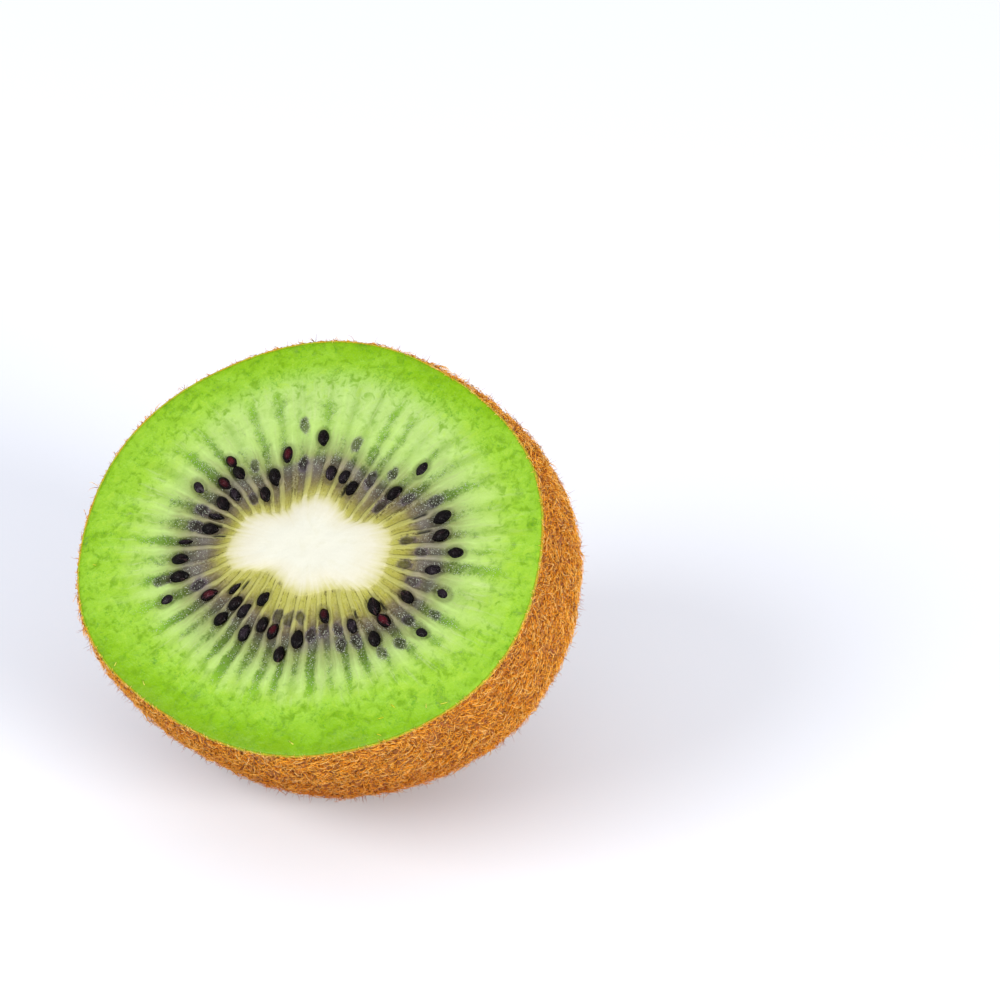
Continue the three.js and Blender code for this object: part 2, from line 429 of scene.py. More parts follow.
# ---------------------------------------------------------------- the cut face

CELL_TAPER_START = 6.2
CELL_REACH = 14.8
WALL_THICKNESS = 0.3
SLITS = [  # cell, start and end beyond the core's edge
    (1.5, 3.6, 6.6),
    (2.6, 3.4, 6.4),
    (8.5, 0.6, 3.0),
    (19.6, 2.6, 5.6),
    (20.5, 1.2, 4.0),
    (26.6, 1.0, 3.2),
    (37.5, 2.4, 4.4),
    (39.5, 2.2, 4.8),
]
cell_rng = np.random.default_rng(17)
CELL_REACHES = CELL_REACH + cell_rng.uniform(-3.8, 2.0, CELLS)
CELL_WIDTHS = cell_rng.uniform(0.72, 1.06, CELLS)
CELL_TONES = cell_rng.uniform(0, 1, CELLS)
WALL_VEILS = cell_rng.uniform(-0.5, 0.85, CELLS)
CELL_STRENGTHS = cell_rng.uniform(0.45, 1.0, CELLS)


def cell_masks(share, radius, place):
    """What the cut shows at a nominal radius and share of a turn."""
    angle = cell_angle(share)
    flat = place * [1, 1, 0]
    up, down = smooth(np.sin(angle), 0.3, 1), smooth(-np.sin(angle), 0.3, 1)
    right, left = smooth(np.cos(angle), 0.3, 1), smooth(-np.cos(angle), 0.3, 1)
    sooner = 3.2 * up * smooth(radius, 8, 11) * (0.2 + 0.8 * smooth(radius, 17, 13.5))
    sooner += 1.3 * down * smooth(radius, 8, 12.5) + 2.1 * down * smooth(radius, 15, 20)
    sooner += 1.3 * up * smooth(radius, 17, 21)
    by_core = (1.0 * up + 0.4 * left) * smooth(radius, CORE_RADIUS - 0.4, CORE_RADIUS + 0.4)
    sooner += by_core * smooth(radius, 10, 7.5)
    later = 0.9 * down * smooth(radius, CORE_RADIUS, 8) * smooth(radius, 11, 8.5)
    later += 0.9 * right * smooth(radius, 6, 8)
    stage = radius + sooner - later
    beyond = stage - CORE_RADIUS
    round_core = np.stack([6 * np.cos(angle), 6 * np.sin(angle), 0 * angle], -1)
    lean = 0.35 * DRIFT(round_core, 2.1) * smooth(beyond, 1, 9)
    counted = share * CELLS + lean + 0.05 * DRIFT(flat, 1.7) + 0.03 * FINE(flat, 0.5)
    cell = np.round(counted).astype(int) % CELLS
    off_centre = np.abs(counted - np.round(counted))
    pitch = 0.85 + 0.165 * np.clip(beyond, 0, 12)
    reach = CELL_REACHES[cell]
    taper = np.clip((beyond - CELL_TAPER_START) / (reach - CELL_TAPER_START), 0, 1)
    half = 0.5 * (1 - (WALL_THICKNESS + 0.04 * beyond) / pitch) * CELL_WIDTHS[cell]
    half = half * (1 - 0.6 * taper**1.5) * (1 + 0.1 * LUMPS(flat, 1.9))
    level = np.clip(0.5 + (half - off_centre) / (0.16 + 0.3 * taper), 0, 1)
    start = 0.2 - 0.5 * up + 0.6 * (CELL_TONES[cell] - 0.5)
    level = level * smooth(beyond, reach + 1.5, reach - 3.5)
    level = level * smooth(radius - CORE_RADIUS, start - 1.1, start + 0.9)
    level = level * (1 - (1 - CELL_STRENGTHS[cell]) * smooth(beyond, 5.5, 8.5))
    level = level * (1 - 0.4 * up * smooth(beyond, 6, 9))
    ghost = np.zeros(len(radius))
    pocket = np.zeros(len(radius))
    for seed in SEEDS:
        near = np.flatnonzero(np.hypot(*(place[:, :2] - seed["place"]).T) < 2.4)
        step = place[near, :2] - seed["place"]
        c, s = math.cos(seed["turn"]), math.sin(seed["turn"])
        along = (step[:, 0] * c + step[:, 1] * s) / (0.5 * SEED_LENGTH * seed["size"])
        aside = (step[:, 1] * c - step[:, 0] * s) / (0.5 * SEED_WIDTH * seed["size"] * seed["width"])
        out = np.hypot(along, aside)
        if seed["kind"] == "g":
            ghost[near] = np.maximum(ghost[near], smooth(out, 1.35, 0.2))
        else:
            # A ring round each seen seed: its sunk pocket, darkened in the cut's colour partly by painted
            # shade
            pocket[near] = np.maximum(pocket[near], smooth(out, 1.35, 1.0))
    slit = np.zeros(len(radius))
    standoff = radius - CORE_RADIUS
    for cell_line, start, end in SLITS:
        across_line = np.abs(counted - cell_line)
        along_line = smooth(standoff, start, start + 0.7) * smooth(standoff, end, end - 0.9)
        slit = np.maximum(slit, smooth(across_line, 0.16, 0.05) * along_line)
    return {
        "counted": (counted + 0.5) % CELLS - 0.5,
        "contents": level,
        "ghost": ghost,
        "pocket": pocket,
        "slit": slit,
        "stage": stage,
        "verge": radius + 0.45 * down + 0.65 * level,
        "pale": up * smooth(radius, 12.5, 15.5) * smooth(radius, 21, 17.5),
        "tone": CELL_TONES[cell],
        "veil": np.maximum(WALL_VEILS[np.floor(counted).astype(int) % CELLS], 0) * smooth(beyond, 0.8, 2.5),
    }


def face_height(radius, masks, place):
    """Relief of the cut: cells sunk between their walls, seeds pressing up, lumpy flesh."""
    flat = np.stack([place[:, 0], place[:, 1], np.zeros(len(place))], -1)
    beyond = radius - CORE_RADIUS
    ring = smooth(beyond, 0.5, 3.5) * smooth(radius, CELL_END, CELL_END - 5)
    sunk = -CELL_DEPTH * ring * (0.3 + 0.7 * masks["contents"])
    beads = (0.07 * FINE(flat, 0.42) + 0.05 * LUMPS(flat, 0.8)) * masks["contents"] * ring
    bulge = 0.09 * masks["ghost"] - 0.1 * masks["pocket"] - 0.22 * masks["slit"]
    outer = smooth(radius, 8, 14) * smooth(radius, 23.1, 21.5)
    lumps = (0.06 * LUMPS(flat, 2.3) + 0.035 * DRIFT(flat, 1.1) + 0.022 * FINE(flat, 0.5)) * outer
    return sunk + beads + bulge + lumps


def press_face(piece, profile_is_face, columns_share, radius, height):
    """Presses the lathe's flat face into the fruit's outline, with its relief and its masks."""
    angle = cell_angle(columns_share)
    place = np.column_stack([face_point(radius, angle), height])
    side = outline_point(radius / NARROW_RADIUS, angle, np.maximum(-height, 0))
    place[~profile_is_face, :2] = side[~profile_is_face]
    masks = cell_masks(columns_share, radius, place)
    relief = face_height(radius, masks, place)
    place[:, 2] += np.where(profile_is_face, relief, 0)
    set_points(piece, place)
    map_cells(piece, radius, masks.pop("counted"))
    for name, values in masks.items():
        add_numbers(piece, name, values)
    return place


FACE_LOWEST = -0.02  # what a lathe profile has above this height is part of the cut
FACE_EDGE = NARROW_RADIUS - SKIN_INSET - 0.5 * SKIN_THICKNESS
FLESH_CLEARANCE = 0.45  # under the cut the flesh keeps this clear of the skin, whose inside is uneven
FLESH_COLUMNS = 14 * CELLS
FLESH_TURNS = (0.14, 0.45, 0.8, 1.15, 1.4)
CORE_COLUMNS = 8 * CELLS
CORE_SIDE_RADIUS = 5.9
CORE_SIDE_POWER = 0.83
CORE_TURNS = (0.1, 0.4, 0.8, 1.15, 1.4)


def superellipse(radius_scale, length_scale, turn, power=2 / SIDE_FULLNESS):
    """A profile point at a turn from the cut's edge towards the tip."""
    return (radius_scale * math.cos(turn) ** power, -length_scale * math.sin(turn) ** power)


def make_flesh():
    hidden = [(0, -0.8), (3.2, -0.8), (4.3, -0.5)]
    ring = [(r, 0) for r in np.arange(4.7, 17.5, 0.121)]
    outer = [(r, 0) for r in np.arange(17.5, FACE_EDGE - 0.2, 0.17)]
    rim = [(FACE_EDGE - 0.06, -0.03), (FACE_EDGE, -0.12), (FACE_EDGE - FLESH_CLEARANCE, -0.6)]
    depth = HALF_LENGTH - 1.3
    side = [superellipse(FACE_EDGE - FLESH_CLEARANCE, depth, t) for t in FLESH_TURNS]
    piece = lathe("flesh", hidden + ring + outer + rim + side + [(0, -depth)], FLESH_COLUMNS)
    radius, share, height = turned_places(piece)
    on_face = height > FACE_LOWEST
    sunk_under_core = (~on_face) & (radius < 4.5) & (height > -1)
    press_face(piece, on_face | sunk_under_core, share, radius, height)
    shade_smooth(piece)
    settle(piece, "flesh", "flesh")
    lay_on_floor(piece, 0.0004)
    return piece


def make_core():
    crown = [(r, 0) for r in np.append(np.arange(0, 4.2, 0.3), np.arange(4.2, 5.95, 0.09))]
    side = [superellipse(CORE_SIDE_RADIUS, CORE_LENGTH, t, CORE_SIDE_POWER) for t in CORE_TURNS]
    piece = lathe("core", crown + [(5.93, -0.6)] + side + [(0, -CORE_LENGTH)], CORE_COLUMNS)
    radius, share, height = turned_places(piece)
    on_face = height > FACE_LOWEST
    place = press_face(piece, on_face, share, radius, height)
    down = confocal_point(core_edge(cell_angle(share)), cell_angle(share)) * (radius / CORE_RADIUS)[:, None]
    place[~on_face, :2] = down[~on_face]
    dome = CORE_CROWN_HEIGHT * (1 - (radius / 5.45) ** 3)
    fibres = 0.03 * LUMPS(place * [1, 1, 0], 1.4) + 0.012 * FINE(place * [1, 1, 0], 0.5)
    place[:, 2] += np.where(on_face, dome - 2.2 * np.maximum(radius - CORE_RADIUS, 0) ** 2 + fibres, 0)
    set_points(piece, place)
    shade_smooth(piece)
    return settle(piece, "core", "core")


# ---------------------------------------------------------------- seeds


SEED_SHRINK = 0.88  # the skin of wet flesh that laps over each seed's edge hides that much of it


def seed_shape():
    """One seed, 1 long and 1 wide and 1 thick: plump, with a blunt end and a pointed end."""
    deselect()
    bpy.ops.mesh.primitive_uv_sphere_add(segments=20, ring_count=14, radius=0.5)
    shape = bpy.context.object
    shape.name = "seed_shape"
    bpy.ops.object.mode_set(mode="EDIT")
    bpy.ops.transform.rotate(value=0.5 * math.pi, orient_axis="Y", center_override=(0, 0, 0))
    bpy.ops.mesh.select_all(action="DESELECT")
    bpy.ops.object.mode_set(mode="OBJECT")
    for start, narrower in ((0.15, 0.93), (0.3, 0.86), (0.42, 0.7)):
        for vertex in shape.data.vertices:
            vertex.select = vertex.co.x < -start
        bpy.ops.object.mode_set(mode="EDIT")
        bpy.ops.transform.resize(value=(1, narrower, narrower), center_override=(0, 0, 0))
        bpy.ops.mesh.select_all(action="DESELECT")
        bpy.ops.object.mode_set(mode="OBJECT")
    along, across, _ = points_of(shape).T
    add_numbers(shape, "along", 2 * along)
    add_numbers(shape, "across", 2 * across)
    return shape


def make_seeds(name, kinds, shape):
    """Copies of the one seed shape, each turned, sized and sunk in its place."""
    deselect()
    for count, seed in enumerate(s for s in SEEDS if s["kind"] in kinds):
        copy = shape.copy()
        copy.data = shape.data.copy()
        bpy.context.scene.collection.objects.link(copy)
        dims = (SEED_LENGTH, SEED_WIDTH * seed["width"], SEED_THICKNESS)
        copy.scale = [SEED_SHRINK * seed["size"] * d for d in dims]
        tip, roll = 0.12 * spread(SILVER_STEP, count + 3), 0.1 * spread(GOLDEN_STEP, count)
        copy.rotation_euler = (tip, roll, seed["turn"])
        copy.location = (*seed["place"], seed["z"])
        copy.select_set(True)
        bpy.context.view_layer.objects.active = copy
        add_numbers(copy, "tone", np.full(len(copy.data.vertices), (count * GOLDEN_STEP) % 1))
    bpy.ops.object.transform_apply(location=True, rotation=True, scale=True)
    bpy.ops.object.join()
    piece = bpy.context.object
    piece.name = name
    points = points_of(piece)
    set_points(piece, points + 0.012 * FINE(points, 0.3)[:, None])
    shade_smooth(piece)
    return settle(piece, "seed")


# ---------------------------------------------------------------- skin and scar


def skin_profile(inset, bands):
    """From the scar's foot out over the dimple's lip and up to the cut, inset from the envelope."""
    floor = PUCKER_LIP_HEIGHT + PUCKER_DEPTH
    tip = [
        (0, floor + inset),
        (SCAR_RADIUS - 0.3, floor + inset),
        (SCAR_RADIUS + 0.3, floor + inset - 0.02),
        (3.4, floor - 0.22 * PUCKER_DEPTH + inset),
        (PUCKER_FOLD_RADIUS, floor - 0.5 * PUCKER_DEPTH + inset),
        (4.5, floor - 0.8 * PUCKER_DEPTH + inset),
        (PUCKER_LIP_RADIUS, PUCKER_LIP_HEIGHT + inset),
    ]
    power = 2 / SIDE_FULLNESS
    first = math.acos((PUCKER_RADIUS / NARROW_RADIUS) ** (1 / power))
    turns = [first * (1 - i / bands) ** 1.15 for i in range(bands)]
    return tip + [superellipse(NARROW_RADIUS - inset, HALF_LENGTH - inset, t) for t in turns]


SKIN_COLUMNS = 8 * CELLS
SKIN_BANDS = 96
SKIN_INSIDE_BANDS = 10
SCAR_SIDES = 66
SCAR_DEPTH = 1.2
SCAR_RINGS = [  # how far each ring of the stub's end lies inwards and out of the one before
    (0.12, 0.25),
    (0.28, 0.4),
    (0.3, 0.08),
    (0.35, -0.12),
    (0.3, -0.3),
    (0.3, -0.2),
    (0.3, 0.12),
    (0.3, 0.1),
]


def make_skin():
    outside = skin_profile(SKIN_INSET, SKIN_BANDS)
    rim_radius = NARROW_RADIUS - SKIN_INSET
    rim = [(rim_radius, -0.12), (rim_radius - 0.03, -0.02), (rim_radius - 0.09, 0.02)]
    rim += [(rim_radius - 0.17, 0.0), (rim_radius - SKIN_THICKNESS, -0.12)]
    inside = skin_profile(SKIN_INSET + SKIN_THICKNESS, SKIN_INSIDE_BANDS)[::-1]
    piece = lathe("skin", outside + rim + inside, SKIN_COLUMNS)
    radius, share, height = turned_places(piece)
    add_numbers(piece, "cut_edge", smooth(height, -0.22, -0.05))
    angle = cell_angle(share)
    place = np.column_stack([outline_point(radius / NARROW_RADIUS, angle, np.maximum(-height, 0)), height])
    in_folds = smooth(radius, SCAR_RADIUS, PUCKER_FOLD_RADIUS) * smooth(radius, 6.2, 4.6) * (height < -30)
    place[:, 2] += PUCKER_FOLD_HEIGHT * in_folds * np.cos(PUCKER_FOLDS * angle)
    outwards = place / np.array([WIDE_RADIUS, NARROW_RADIUS, HALF_LENGTH]) ** 2
    outwards /= np.linalg.norm(outwards, axis=1)[:, None]
    unevenness = 0.12 * LUMPS(place, 3.4) + 0.07 * DRIFT(place, 1.3) + 0.03 * FINE(place, 0.6)
    place += outwards * (unevenness * smooth(-height, 0.05, 2.5))[:, None]
    set_points(piece, place)
    shade_smooth(piece)
    return piece


def make_scar():
    """The woody stub in the dimple, a ring with a sunk, cracked middle."""
    deselect()
    top = PUCKER_LIP_HEIGHT + PUCKER_DEPTH
    middle = (0, 0, top + 0.5)
    bpy.ops.mesh.primitive_cylinder_add(
        vertices=SCAR_SIDES, radius=SCAR_RADIUS, depth=SCAR_DEPTH, location=middle
    )
    piece = bpy.context.object
    piece.name = "end_scar"
    bpy.ops.object.transform_apply(location=True)
    bpy.ops.object.mode_set(mode="EDIT")
    bpy.ops.mesh.select_all(action="DESELECT")
    bpy.ops.object.mode_set(mode="OBJECT")
    for face in piece.data.polygons:
        face.select = face.normal.z < -0.9
    bpy.ops.object.mode_set(mode="EDIT")
    for inwards, out in SCAR_RINGS:
        bpy.ops.mesh.inset(thickness=inwards, depth=0)
        bpy.ops.transform.translate(value=(0, 0, -out))
    bpy.ops.mesh.poke()
    bpy.ops.mesh.select_all(action="SELECT")
    bpy.ops.mesh.subdivide(number_cuts=1, smoothness=0.6)
    bpy.ops.object.mode_set(mode="OBJECT")
    points = points_of(piece)
    rays = 0.09 * np.cos(13 * np.arctan2(points[:, 1], points[:, 0]) + 2 * LUMPS(points, 1.2))
    rough = rays + 0.12 * LUMPS(points, 0.7) + 0.06 * FINE(points, 0.3)
    points[:, 2] -= rough * (points[:, 2] < top + 0.4)
    points[:, :2] *= (1 + 0.05 * DRIFT(points, 1.1))[:, None]
    set_points(piece, points)
    shade_smooth(piece, math.radians(50))
    return settle(piece, "scar")


# ---------------------------------------------------------------- hairs


HAIR_POLE = [0.15, 0.2, 1.0]  # the hairs are combed round this line
ROOT_DEPTH = 0.03
HIGHEST_ROOT = -0.05


def hair_shape(cuts):
    """One straight three-sided hair along Z from 0 to 1, cut into lengths so that it can bend."""
    deselect()
    bpy.ops.mesh.primitive_cone_add(vertices=3, radius1=1, radius2=0, depth=1, location=(0, 0, 0.5))
    shape = bpy.context.object
    bpy.ops.object.transform_apply(location=True)
    bpy.ops.object.mode_set(mode="EDIT")
    for cut in range(1, cuts + 1):
        bpy.ops.mesh.select_all(action="SELECT")
        height = cut / (cuts + 1)
        bpy.ops.mesh.bisect(plane_co=(0, 0, height), plane_no=(0, 0, 1))
    bpy.ops.object.mode_set(mode="OBJECT")
    points = points_of(shape)
    across = np.hypot(points[:, 0], points[:, 1])
    levels = points[:, 2]
    fuller = np.where(across > 0, np.sqrt(1 - levels**1.5) / np.maximum(across, 1e-9), 0)
    points[:, :2] *= fuller[:, None]
    faces = [list(face.vertices) for face in shape.data.polygons]
    bpy.data.objects.remove(shape)
    return points, faces


def unit(vectors):
    return vectors / np.linalg.norm(vectors, axis=-1)[..., None]


def surface_points(piece, count, rng, keep):
    """Evenly scattered points of a surface, with the way out of it, whatever order its faces are in."""
    faces = piece.data.polygons
    middles, normals, areas = np.empty(3 * len(faces)), np.empty(3 * len(faces)), np.empty(len(faces))
    faces.foreach_get("center", middles)
    faces.foreach_get("normal", normals)
    faces.foreach_get("area", areas)
    middles, normals = middles.reshape(-1, 3), normals.reshape(-1, 3)
    kept = np.flatnonzero(keep(middles, normals))
    kept = kept[np.lexsort(middles[kept].round(3).T)]
    totals = np.cumsum(areas[kept])
    chosen = kept[np.searchsorted(totals, rng.uniform(0, totals[-1], count))]
    outwards = normals[chosen]
    across = unit(np.cross(outwards, HAIR_POLE))
    turn = rng.uniform(0, TURN, count)[:, None]
    away = np.sqrt(0.5 * areas[chosen] * rng.uniform(0, 1, count))[:, None]
    roots = middles[chosen] + away * (across * np.cos(turn) + np.cross(outwards, across) * np.sin(turn))
    return roots, outwards


def grow_hairs(kind, shape, roots, outwards, rng):
    """Bends a copy of the one hair for each root: it lifts off, then bows back to the skin."""
    template, faces = shape
    name, count = kind["name"], len(roots)
    levels = np.unique(template[:, 2].round(6))
    length, width, lift, bend = (rng.uniform(*kind[k], count) for k in ("length", "width", "lift", "bend"))
    width = 0.5 * width
    curl = rng.normal(0, kind["curl"], count)
    combed = unit(np.cross(outwards, HAIR_POLE))
    other = np.cross(outwards, combed)
    swirl = kind.get("heading", 0) + kind["flow"] * rng.normal(0, 1, count) + 1.6 * DRIFT(roots, 4.5)
    middles = [roots]
    ways = []
    for i, level in enumerate(levels):
        turn = swirl + curl * level
        along = combed * np.sin(turn)[:, None] + other * np.cos(turn)[:, None]
        rise = lift - bend * level
        way = along * np.cos(rise)[:, None] + outwards * np.sin(rise)[:, None]
        ways.append(way)
        if i:
            step = (levels[i] - levels[i - 1]) * length
            middles.append(middles[-1] + unit(ways[-1] + ways[-2]) * step[:, None])
    level_of = np.searchsorted(levels, template[:, 2].round(6))
    middles = np.stack(middles, 1)[:, level_of]
    ways = np.stack(ways, 1)[:, level_of]
    sides = unit(np.cross(ways, outwards[:, None] + 0.01))
    ups = np.cross(sides, ways)
    shape_x, shape_y = template[:, 0][None, :, None], template[:, 1][None, :, None]
    points = middles + width[:, None, None] * (sides * shape_x + ups * shape_y)
    starts = len(template) * np.arange(count)[:, None]
    corners = [starts + np.array(face)[None, :] for face in faces]
    sizes = [len(face) for face in faces]
    all_corners = np.concatenate(corners, axis=1).ravel()
    mesh = bpy.data.meshes.new(name)
    mesh.vertices.add(count * len(template))
    mesh.vertices.foreach_set("co", points.ravel())
    mesh.loops.add(len(all_corners))
    mesh.loops.foreach_set("vertex_index", all_corners)
    mesh.polygons.add(count * len(faces))
    totals = np.tile(sizes, count)
    mesh.polygons.foreach_set("loop_start", np.append(0, np.cumsum(totals)[:-1]))
    mesh.update(calc_edges=True)
    mesh.validate()
    piece = bpy.data.objects.new(name, mesh)
    bpy.context.scene.collection.objects.link(piece)
    add_numbers(piece, "tone", np.repeat(rng.uniform(0, 1, count), len(template)))
    add_numbers(piece, "along", np.tile(template[:, 2], count))
    return piece


def lay_on_floor(piece, clear=0.00002):
    """Nothing reaches below the floor: what is caught under the fruit is pressed flat."""
    points = points_of(piece)
    points[:, 2] = np.maximum(points[:, 2], clear)
    set_points(piece, points)


def hair_kind(name, finish, count, cuts, length, width, lift, bend, curl, flow, **more):
    """Lengths and widths in millimetres, turns in radians, each from a least to a most."""
    return dict(
        name=name, finish=finish, count=count, cuts=cuts, length=length, width=width,
        lift=lift, bend=bend, curl=curl, flow=flow, **more,
    )


HAIR_KINDS = [
    hair_kind(
        "hairs_long_gold", "gold", 8000, 2, (1.1, 2.0), (0.05, 0.08), (0.4, 0.9), (0.8, 1.5), 1.4, 0.75,
    ),
    hair_kind(
        "hairs_long_tan", "tan", 8500, 2, (1.2, 2.0), (0.055, 0.085), (0.35, 0.8), (0.7, 1.3), 1.3, 0.85,
    ),
    hair_kind(
        "hairs_long_brown", "brown", 8000, 2, (1.0, 1.9), (0.05, 0.08), (0.3, 0.8), (0.6, 1.3), 1.4, 1.0,
    ),
    hair_kind(
        "hairs_short_gold", "gold", 8500, 1, (0.4, 0.8), (0.05, 0.08), (0.3, 1.0), (0.3, 1.0), 0.5, 1.2,
    ),
    hair_kind(
        "hairs_short_tan", "tan", 19500, 1, (0.4, 0.9), (0.06, 0.09), (0.2, 0.9), (0.3, 1.0), 0.5, 1.3,
    ),
    hair_kind(
        "hairs_short_brown", "brown", 19500, 1, (0.4, 0.9), (0.06, 0.09), (0.3, 1.0), (0.2, 0.9), 0.5, 1.5,
    ),
    hair_kind(
        "hairs_stray", "red", 3900, 3, (0.5, 1.4), (0.035, 0.055), (0.7, 1.5), (-1.0, 1.6), 2.4, 1.6,
    ),
    hair_kind(
        "hairs_over_rim", "gold", 1800, 2, (0.3, 0.7), (0.04, 0.07), (0.2, 0.9), (0.9, 2.2), 0.8, 0.8,
        heading=math.pi, rim=0.6,
    ),
]
SCRAPS = hair_kind("hair_scraps", "yellow", 9, 2, (0.5, 0.9), (0.09, 0.13), (0, 0.1), (0, 0.15), 0.3, 2.0)
SCRAP_ARC = (math.radians(195), math.radians(335))


def outside_of_skin(middles, normals, rim):
    away = (middles * [1, 1, 0.7] * normals).sum(1) > 0
    off_scar = np.hypot(middles[:, 0], middles[:, 1]) > SCAR_RADIUS
    return away & off_scar & (middles[:, 2] < HIGHEST_ROOT) & (middles[:, 2] > -rim)


def make_hairs(skin, finishes):
    shapes = {cuts: hair_shape(cuts) for cuts in (1, 2, 3)}
    for kind in HAIR_KINDS:
        rng = np.random.default_rng(kind["count"] + kind["cuts"])
        rim = kind.get("rim", HALF_LENGTH)
        roots, outwards = surface_points(skin, kind["count"], rng, lambda m, n: outside_of_skin(m, n, rim))
        roots = roots - ROOT_DEPTH * outwards
        roots[:, 2] = np.minimum(roots[:, 2], HIGHEST_ROOT)
        finish_hairs(grow_hairs(kind, shapes[kind["cuts"]], roots, outwards, rng), finishes[kind["finish"]])
    rng = np.random.default_rng(7)
    angle = rng.uniform(*SCRAP_ARC, SCRAPS["count"])
    share = 1 - rng.uniform(0.03, 1, SCRAPS["count"]) ** 2 * 0.12
    roots = np.column_stack([outline_point(share * 0.95, angle, 0), np.full(SCRAPS["count"], 0.09)])
    outwards = np.tile([0.0, 0.0, 1.0], (SCRAPS["count"], 1))
    finish_hairs(grow_hairs(SCRAPS, shapes[2], roots, outwards, rng), finishes["yellow"])


def finish_hairs(piece, material):
    settle(piece, "hair")
    lay_on_floor(piece)
    piece.data.materials.append(material)


# ---------------------------------------------------------------- finishes


# Colours of the cut at their distance from the fruit's axis
FACE_REACH = 27
CORE_TONES = [(2.6, "D3D3C2"), (4.2, "D0CDB6"), (5.1, "C6C298"), (5.9, "B6B26C")]
WALL_TONES = [
    (5.3, "B5B160"),
    (6.0, "AAA856"),
    (7.0, "A09E50"),
    (8.4, "95925A"),
    (10.0, "8C8568"),
    (12.0, "7F815A"),
    (13.8, "8A9B58"),
    (15.6, "9CB66A"),
    (17.4, "A6C472"),
    (19.4, "9CC254"),
]
CONTENTS_TONES = [
    (5.3, "ACAA4C"),
    (6.4, "A2A042"),
    (7.4, "959042"),
    (8.6, "766C46"),
    (10.2, "5A5142"),
    (12.0, "4C4C36"),
    (13.6, "4A5A20"),
    (15.4, "567424"),
    (17.2, "6A942A"),
    (19.0, "78AA1E"),
]
FLESH_TONES = [
    (17.0, "A2C45A"),
    (20.0, "8EBC2E"),
    (21.8, "88B82A"),
    (23.2, "80B116"),
    (24.5, "78AA00"),
    (26.0, "74A000"),
]


